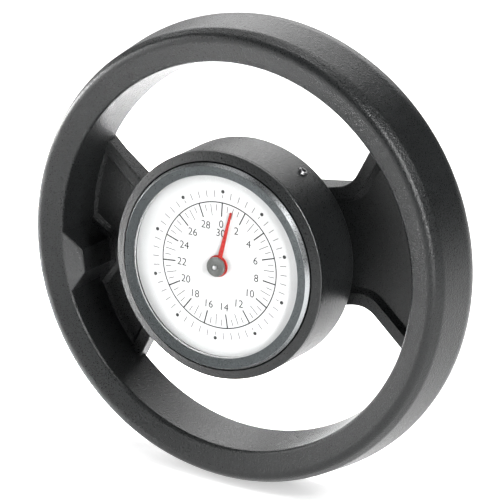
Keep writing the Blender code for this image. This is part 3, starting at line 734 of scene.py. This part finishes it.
def panel_outline(has_seat):
    """The sunk panel in plan: a border's width inside the free edges, and up to the rim's wall."""
    across = PANEL_BORDER / math.sin(WEB_SPREAD)
    half = WEB_HALF - PANEL_BORDER
    bend_x = WEB_BEND_X + PANEL_BORDER * math.tan(WEB_SPREAD / 2)
    y = reach_y(PANEL_RIM_R, across)
    end_angle = math.atan2(y, web_edge_x(y) + across)
    corners = [
        (PANEL_HUB_X, half, 0),
        (bend_x, half, WEB_BEND_FILLET),
        (*polar(PANEL_RIM_R, end_angle), 0),
    ]
    upper = filleted(corners, BEND_STEPS)
    if has_seat:
        tip = seat_outline(PANEL_SLOPE)[2]
        foot_x, tip_half = tip
        wall_x = foot_x
        for _ in range(SEARCH_ROUNDS):
            wall_x += PANEL_RIM_R - math.hypot(wall_x, tip_half + wall_x - foot_x)
        wall = (wall_x, tip_half + wall_x - foot_x)
        wall_angle = math.atan2(wall[1], wall[0])
        beside_seat = arc(PANEL_RIM_R, end_angle, wall_angle, BESIDE_SEAT_STEPS)[1:-1]
        half_side = beside_seat + [wall, tip]
        rim_side = half_side + [(x, -y) for x, y in reversed(half_side)]
    else:
        rim_side = arc(PANEL_RIM_R, end_angle, -end_angle, PANEL_STEPS)[1:-1]
    return upper + rim_side + [(x, -y) for x, y in reversed(upper)]


def panel_cutter(has_seat):
    """An upright lip and then a floor reached by a 45 degree slope."""
    edit = bmesh.new()
    top = WEB_FRONT + PANEL_CLEARANCE
    lid = edit.faces.new([edit.verts.new((x, y, top)) for x, y in panel_outline(has_seat)])
    grown = bmesh.ops.extrude_face_region(edit, geom=[lid])["geom"]
    floor = [item for item in grown if isinstance(item, bmesh.types.BMFace)]
    moved = [item for item in grown if isinstance(item, bmesh.types.BMVert)]
    bmesh.ops.translate(edit, verts=moved, vec=(0, 0, WEB_FRONT - PANEL_STEP - top))
    bmesh.ops.recalc_face_normals(edit, faces=edit.faces)
    bmesh.ops.inset_region(
        edit, faces=floor, thickness=PANEL_SLOPE, depth=PANEL_SLOPE, use_even_offset=True
    )
    return to_object(edit, "panel_cutter")


def back_slope_cutter():
    """Thins the web behind, from full depth at the hub to the rim's back face."""
    outline = [
        (0.0, WEB_BACK),
        (WEB_BACK_START_X, WEB_BACK),
        (WEB_BACK_END_X, WEB_RIM_BACK),
        (RIM_R, WEB_RIM_BACK),
        (RIM_R, -WEB_FRONT),
        (0.0, -WEB_FRONT),
    ]
    cutter = slab("back_slope", outline, -RIM_R, RIM_R)
    cutter.data.transform(Matrix.Rotation(math.pi / 2, 4, "X"))
    return cutter


def web(has_seat):
    plate = slab("web", web_outline(), 0.0, WEB_FRONT, WEB_ROUNDING)
    combine(plate, "DIFFERENCE", back_slope_cutter(), panel_cutter(has_seat))
    if has_seat:
        seat = slab("seat", seat_outline(), SEAT_BOTTOM, SEAT_TOP, SEAT_ROUNDING)
        combine(plate, "UNION", seat)
        plate.data.transform(Matrix.Rotation(math.pi, 4, "Z"))
    return plate


def radial(angle, height):
    """Places a z-axis solid so that its z runs outwards from the wheel's axis."""
    lean = Matrix.Rotation(math.pi / 2, 4, "Y")
    return Matrix.Translation((0, 0, height)) @ Matrix.Rotation(angle, 4, "Z") @ lean


def screw_hole(radius, span, angle, height):
    hole = slab("hole", circle(radius + CLEARANCE, SMALL_STEPS), *span)
    hole.data.transform(radial(angle, height))
    return hole


def make_handwheel(looks):
    body = rim()
    body.name = "handwheel_moulding"
    combine(body, "UNION", web(False), web(True))
    middle = slab("middle", circle(BUSH_R + MIDDLE_WALL, HUB_STEPS), MIDDLE_BACK, CUP_FLOOR)
    combine(body, "DIFFERENCE", middle)
    combine(body, "UNION", hub())
    for angle in CASE_SCREW_ANGLES.values():
        hole = screw_hole(CASE_SCREW_R, CASE_HOLE_SPAN, angle, CASE_SCREW_HEIGHT)
        combine(body, "DIFFERENCE", hole)
    hole = screw_hole(SHAFT_SCREW_R, SHAFT_HOLE_SPAN, SHAFT_SCREW_ANGLE, SHAFT_SCREW_HEIGHT)
    combine(body, "DIFFERENCE", hole)
    fit(body, WHEEL, looks["moulding"], "handwheel", "black_moulding", "handwheel_body")
    # The hub's rounded front edge takes the lighter material: a painted highlight line around the
    # hub.
    edge_radii = (HUB_FRONT_R - HUB_EDGE, HUB_FRONT_R)
    edge_heights = (HUB_FRONT - HUB_EDGE, HUB_FRONT)
    repaint(body, looks["moulding_edge_highlight"], edge_radii, edge_heights)


def grub_screw(name, radius, span, angle, height):
    """A set screw pointing inwards, with a cup point and a hexagon socket outside."""
    inner, outer = span
    chamfer = radius * SCREW_CHAMFER
    thread = [(radius, outer - chamfer)]
    while thread[-1][1] - THREAD_PITCH > inner + chamfer:
        crest = thread[-1][1] - THREAD_PITCH
        thread.append((radius - THREAD_DEPTH, crest + THREAD_PITCH * THREAD_ROOT))
        thread.append((radius, crest))
    outline = [
        (0.0, outer),
        (radius - chamfer, outer),
        *thread,
        (radius - chamfer, inner),
        (radius * CUP_POINT_R, inner),
        (0.0, inner + radius * CUP_POINT_DEPTH),
    ]
    screw = turned(name, outline, SMALL_STEPS)
    depth = radius * SOCKET_DEPTH
    socket = slab("socket", circle(radius * SOCKET_R, HEXAGON), outer - depth, outer + depth)
    wide_r, wide_at, point_at = (radius * part for part in LEAD_IN)
    lead_in = turned(
        "lead_in",
        [(0.0, outer + depth), (wide_r, outer + wide_at), (0.0, outer - point_at)],
        SMALL_STEPS,
    )
    combine(screw, "DIFFERENCE", socket, lead_in)
    screw.data.transform(radial(angle, height))
    return screw


def make_shaft_pieces(looks):
    chamfer = BUSH_CHAMFER
    outline = [
        (BUSH_R - chamfer / 2, BUSH_LENGTH),
        (BUSH_R, BUSH_LENGTH - chamfer / 2),
        (BUSH_R, chamfer),
        (BUSH_R - chamfer, 0.0),
        (BUSH_BORE_R + chamfer, 0.0),
        (BUSH_BORE_R, chamfer),
        (BUSH_BORE_R, BUSH_LENGTH - chamfer),
        (BUSH_BORE_R + chamfer, BUSH_LENGTH),
    ]
    bush = turned("steel_bush", outline, FINE_STEPS)
    hole = screw_hole(SHAFT_SCREW_R, BUSH_HOLE_SPAN, SHAFT_SCREW_ANGLE, SHAFT_SCREW_HEIGHT)
    combine(bush, "DIFFERENCE", hole)
    fit(bush, WHEEL, looks["steel"], "handwheel", "bright_steel", "shaft_bush")
    place = (SHAFT_SCREW_SPAN, SHAFT_SCREW_ANGLE, SHAFT_SCREW_HEIGHT)
    screw = grub_screw("shaft_set_screw", SHAFT_SCREW_R, *place)
    fit(screw, WHEEL, looks["screw"], "handwheel", "screw_black", "shaft_grub_screw")
    for side, angle in CASE_SCREW_ANGLES.items():
        name = f"case_set_screw_{side}"
        screw = grub_screw(name, CASE_SCREW_R, CASE_SCREW_SPAN, angle, CASE_SCREW_HEIGHT)
        fit(screw, WHEEL, looks["screw"], "handwheel", "screw_black", f"case_grub_screw_{side}")


# Indicator


def make_bezel(looks):
    outline = filleted(
        [
            (BEZEL_FACE_R, BEZEL_FRONT, BEZEL_FACE_FILLET),
            (BEZEL_R, BEZEL_SHOULDER, BEZEL_FACE_FILLET),
            (BEZEL_R, BEZEL_BACK, BEZEL_SKIRT_FILLET),
            (BEZEL_SKIRT_R, BEZEL_BACK, BEZEL_SKIRT_FILLET),
            (BEZEL_SKIRT_R, BEZEL_LIP_BACK, BEZEL_SKIRT_FILLET),
            (BEZEL_LIP_R, BEZEL_LIP_BACK, BEZEL_LIP_FILLET),
            (BEZEL_LIP_R, BEZEL_LIP_FRONT, BEZEL_LIP_FILLET),
        ],
        3,
    )
    bezel = turned("bezel", outline, HUB_STEPS)
    fit(bezel, STAND, looks["bezel"], "handwheel", "bezel_grey", "bezel_ring")
    # The chamfer takes the lighter metal: a painted highlight ring around the bezel.
    repaint(bezel, looks["bezel_edge"], (BEZEL_FACE_R, BEZEL_R), (BEZEL_SHOULDER, BEZEL_FRONT))


def dome(edge_r, top):
    """The outline of the window's shallow dome, from its middle to a radius."""
    rise = WINDOW_TOP - WINDOW_SHOULDER
    sphere_r = (WINDOW_R**2 + rise**2) / (2 * rise)
    radii = [edge_r * i / WINDOW_STEPS for i in range(WINDOW_STEPS + 1)]
    return [(r, top - sphere_r + math.sqrt(sphere_r**2 - r**2)) for r in radii]


def make_window(looks):
    inside_r = WINDOW_R - WINDOW_SIDE_WALL
    outer = dome(WINDOW_R, WINDOW_TOP)
    inner = dome(inside_r, WINDOW_TOP - WINDOW_WALL)
    flange = [
        (WINDOW_R, WINDOW_FLANGE_FRONT),
        (WINDOW_FLANGE_R, WINDOW_FLANGE_FRONT),
        (WINDOW_FLANGE_R, WINDOW_BACK),
        (inside_r, WINDOW_BACK),
    ]
    window = turned("window_dome", outer + flange + inner[::-1], FINE_STEPS)
    fit(window, STAND, looks["window"], "handwheel", "clear_window", "window")
    window.visible_shadow = False


def make_dial(looks):
    outline = filleted(
        [
            (DIAL_R, DIAL_FRONT, DIAL_EDGE),
            (DIAL_R, DIAL_BACK, DIAL_EDGE),
            (DIAL_HOLE_R, DIAL_BACK, DIAL_EDGE),
            (DIAL_HOLE_R, DIAL_FRONT, DIAL_EDGE),
        ],
        3,
    )
    dial = turned("dial_disc", outline, FINE_STEPS)
    fit(dial, STAND, looks["dial"], "pendulum", "dial_white", "dial")


def clock(angle):
    """The direction at an angle clockwise from the top of the dial."""
    return math.pi / 2 - angle


def tick(angle, inner, outer, width):
    half = width / 2
    outline = [(inner, -half), (outer, -half), (outer, half), (inner, half)]
    mark = slab("tick", outline, DIAL_FRONT, DIAL_FRONT + INK)
    mark.data.transform(Matrix.Rotation(clock(angle), 4, "Z"))
    return mark


def numeral(text, at):
    """A printed number, upright, with its centre at a point of the dial."""
    curve = bpy.data.curves.new("numeral", "FONT")
    curve.body = text
    curve.size = 1.0
    curve.offset = NUMBER_WEIGHT
    curve.fill_mode = "BOTH"
    obj = bpy.data.objects.new("numeral", curve)
    bpy.context.scene.collection.objects.link(obj)
    bpy.context.view_layer.update()
    graph = bpy.context.evaluated_depsgraph_get()
    mesh = bpy.data.meshes.new_from_object(obj.evaluated_get(graph))
    bpy.data.objects.remove(obj, do_unlink=True)
    xs = [v.co.x for v in mesh.vertices]
    ys = [v.co.y for v in mesh.vertices]
    scale = NUMBER_HEIGHT / (max(ys) - min(ys))
    centre = Matrix.Translation((-(min(xs) + max(xs)) / 2, -(min(ys) + max(ys)) / 2, 0))
    mesh.transform(Matrix.Translation((*at, DIAL_FRONT)) @ Matrix.Scale(scale, 4) @ centre)
    edit = bmesh.new()
    edit.from_mesh(mesh)
    bmesh.ops.remove_doubles(edit, verts=edit.verts, dist=MERGE)
    grown = bmesh.ops.extrude_face_region(edit, geom=edit.faces[:])["geom"]
    lifted = [item for item in grown if isinstance(item, bmesh.types.BMVert)]
    bmesh.ops.translate(edit, verts=lifted, vec=(0, 0, INK))
    return to_object(edit, "numeral")


def make_print(looks):
    whole = 2 * math.pi
    fine = []
    for i in range(OUTER_TICKS):
        if i % DOT_EVERY:
            fine.append(tick(whole * i / OUTER_TICKS, *OUTER_TICK_SPAN, OUTER_TICK_WIDTH))
        else:
            stub = (OUTER_TICK_SPAN[0], DOT_AT - DOT_R * (1 + DOT_GAP))
            fine.append(tick(whole * i / OUTER_TICKS, *stub, OUTER_TICK_WIDTH))
    dots = []
    for i in range(0, OUTER_TICKS, DOT_EVERY):
        at = polar(DOT_AT, clock(whole * i / OUTER_TICKS))
        dots.append(slab("dot", circle(DOT_R, DOT_STEPS, at), DIAL_FRONT, DIAL_FRONT + INK))
    bold = []
    tick_count = TURNS // 2 * TICKS_PER_NUMBER
    for i in range(tick_count):
        angle = whole * i / tick_count
        if i % TICKS_PER_NUMBER == 0:
            bold.append(tick(angle, LONG_TICK_END, CIRCLE_R, LONG_TICK_WIDTH))
        else:
            end = MIDDLE_TICK_END if i % 2 == 0 else SHORT_TICK_END
            fine.append(tick(angle, end, CIRCLE_R - CIRCLE_WIDTH * 2, FINE_TICK_WIDTH))
    half = CIRCLE_WIDTH / 2
    top = DIAL_FRONT + INK
    band = [
        (CIRCLE_R + half, top),
        (CIRCLE_R + half, DIAL_FRONT),
        (CIRCLE_R - half, DIAL_FRONT),
        (CIRCLE_R - half, top),
    ]
    bold.append(turned("circle", band, FINE_STEPS))
    numbers = []
    for value in range(0, TURNS, 2):
        numbers.append(numeral(str(value), polar(NUMBER_AT, clock(whole * value / TURNS))))
    numbers.append(numeral(str(TURNS), (0.0, LAST_NUMBER_AT)))
    for name, marks, look in (
        ("dial_fine_marks", fine, "ink_grey"),
        ("dial_dots", dots, "ink_black"),
        ("dial_scale", bold, "ink_black"),
        ("dial_numbers", numbers, "ink_black"),
    ):
        fit(joined(name, marks), STAND, looks[look], "pendulum", "cap_grey")


def make_pointer(looks):
    blend = math.asin(POINTER_ROOT_HALF / POINTER_HUB_R)
    outer = arc(POINTER_HUB_R, blend, 2 * math.pi - blend, POINTER_HUB_STEPS)
    tip_centre = (POINTER_TIP_R - POINTER_TIP_HALF, 0.0)
    tip = arc(POINTER_TIP_HALF, -math.pi / 2, math.pi / 2, POINTER_TIP_STEPS, tip_centre)
    needle = slab("needle", outer + tip, *POINTER_BAND, POINTER_ROUNDING)
    low, high = POINTER_BAND
    bore = slab("bore", circle(POINTER_BORE_R, SMALL_STEPS), low - CUT_PAST, high + CUT_PAST)
    combine(needle, "DIFFERENCE", bore)
    aim = Matrix.Rotation(POINTER_ANGLE, 4, "Z")
    fit(needle, STAND @ aim, looks["red"], "pointer", "pointer_red", "pointer")
    inner = PIN_R + CLEARANCE / 2
    low, high = CAP_BAND
    outline = filleted(
        [
            (CAP_R, high, CAP_FRONT_FILLET),
            (CAP_R, low, CAP_BACK_FILLET),
            (inner, low, CAP_HOLE_BACK_FILLET),
            (inner, high, CAP_HOLE_FRONT_FILLET),
        ],
        4,
    )
    cap = turned("cap", outline, FINE_STEPS)
    fit(cap, STAND, looks["cap"], "pointer", "cap_grey", "pointer_cap")
    low, high = PIN_BAND
    shoulder = high - PIN_DOME
    angles = [math.pi / 2 * i / PIN_STEPS for i in range(PIN_STEPS + 1)]
    end = [(PIN_R * math.sin(a), shoulder + PIN_DOME * math.cos(a)) for a in angles]
    pin = turned("pin", end + [(PIN_R, low), (0.0, low)], SMALL_STEPS)
    fit(pin, STAND, looks["steel"], "pointer", "bright_steel", "cap_pin")


def paint_inside(looks):
    """The pieces inside keep their shapes and take their materials by the record's slots."""
    by_slot = {
        "case_black": "case",
        "bright_steel": "steel",
        "brass": "brass",
        "aluminium": "aluminium",
        "seal_rubber": "rubber",
        "black_moulding": "moulding",
        "bezel_grey": "bezel",
        "clear_window": "window",
        "dial_white": "dial",
        "pointer_red": "red",
        "cap_grey": "cap",
        "screw_black": "screw",
    }
    for part in frame["record"]["subparts"]:
        node = frame["nodes"][part["node"]]
        look = looks[by_slot[part["material_slot"]]]
        node.data.materials.clear()
        node.data.materials.append(look)


def make_looks():
    return {
        "moulding": moulding_look(),
        "moulding_edge_highlight": burnished_look(),
        "case": case_look(),
        "bezel": bezel_look(),
        "bezel_edge": bezel_edge_look(),
        "window": window_look(),
        "dial": dial_look(),
        "ink_black": ink_look("ink_black", (0.010, 0.010, 0.010)),
        "ink_grey": ink_look("ink_grey", (0.13, 0.13, 0.13)),
        "red": paint_look("pointer_red", (0.36, 0.016, 0.012), 0.45),
        "cap": paint_look("cap_grey", (0.10, 0.105, 0.10), 0.45),
        "steel": metal_look("bright_steel", (0.62, 0.62, 0.63), 0.28, 900.0, (1.0, 6.0, 1.0)),
        "brass": metal_look("brass", (0.72, 0.50, 0.20), 0.3, 700.0, (1.0, 4.0, 1.0)),
        "aluminium": metal_look("aluminium", (0.78, 0.79, 0.80), 0.36, 1200.0, (0.15, 1.0, 3.0)),
        "screw": screw_look(),
        "rubber": rubber_look(),
        "floor": floor_look(),
    }


# Studio


def area_light(name, at, aim, size, power, spread):
    data = bpy.data.lights.new(name, "AREA")
    data.spread = math.radians(spread)
    data.shape = "RECTANGLE"
    data.size, data.size_y = size
    data.energy = power
    light = bpy.data.objects.new(name, data)
    light.location = at
    light.rotation_euler = (Vector(aim) - Vector(at)).to_track_quat("-Z", "Y").to_euler()
    bpy.context.scene.collection.objects.link(light)


def make_studio(looks):
    ground = low_corner("handwheel_body").z
    edit = bmesh.new()
    bmesh.ops.create_grid(edit, x_segments=8, y_segments=8, size=FLOOR_HALF)
    bmesh.ops.translate(edit, verts=edit.verts, vec=(0, 0, ground))
    floor = to_object(edit, "floor")
    floor.data.materials.append(looks["floor"])
    for name, settings in LIGHTS.items():
        area_light(name, *settings)
    world = bpy.data.worlds.new("studio")
    world.use_nodes = True
    sky = world.node_tree.nodes["Background"]
    sky.inputs["Color"].default_value = (1.0, 1.0, 1.0, 1.0)
    sky.inputs["Strength"].default_value = SKY_STRENGTH
    bpy.context.scene.world = world
    bpy.context.scene.view_settings.view_transform = "Standard"


def make_camera():
    """Looks at the dial from the right and a little above, with a long lens."""
    back = Vector(
        (
            math.sin(AZIMUTH) * math.cos(ELEVATION),
            -math.cos(AZIMUTH) * math.cos(ELEVATION),
            math.sin(ELEVATION),
        )
    )
    right = Vector((math.cos(AZIMUTH), math.sin(AZIMUTH), 0.0))
    up = back.cross(right)
    target = Vector(DIAL_CENTRE) + right * TARGET_RIGHT + up * TARGET_UP
    x = right * math.cos(ROLL) + up * math.sin(ROLL)
    y = back.cross(x)
    data = bpy.data.cameras.new("camera")
    data.sensor_width = SENSOR
    data.lens = LENS
    camera = bpy.data.objects.new("camera", data)
    turn = Matrix((x, y, back)).transposed().to_4x4()
    camera.matrix_world = Matrix.Translation(target + back * DISTANCE) @ turn
    bpy.context.scene.collection.objects.link(camera)
    bpy.context.scene.camera = camera


LOOKS = make_looks()
make_camera()
make_studio(LOOKS)
paint_inside(LOOKS)
make_handwheel(LOOKS)
make_shaft_pieces(LOOKS)
make_bezel(LOOKS)
make_window(LOOKS)
make_dial(LOOKS)
make_print(LOOKS)
make_pointer(LOOKS)
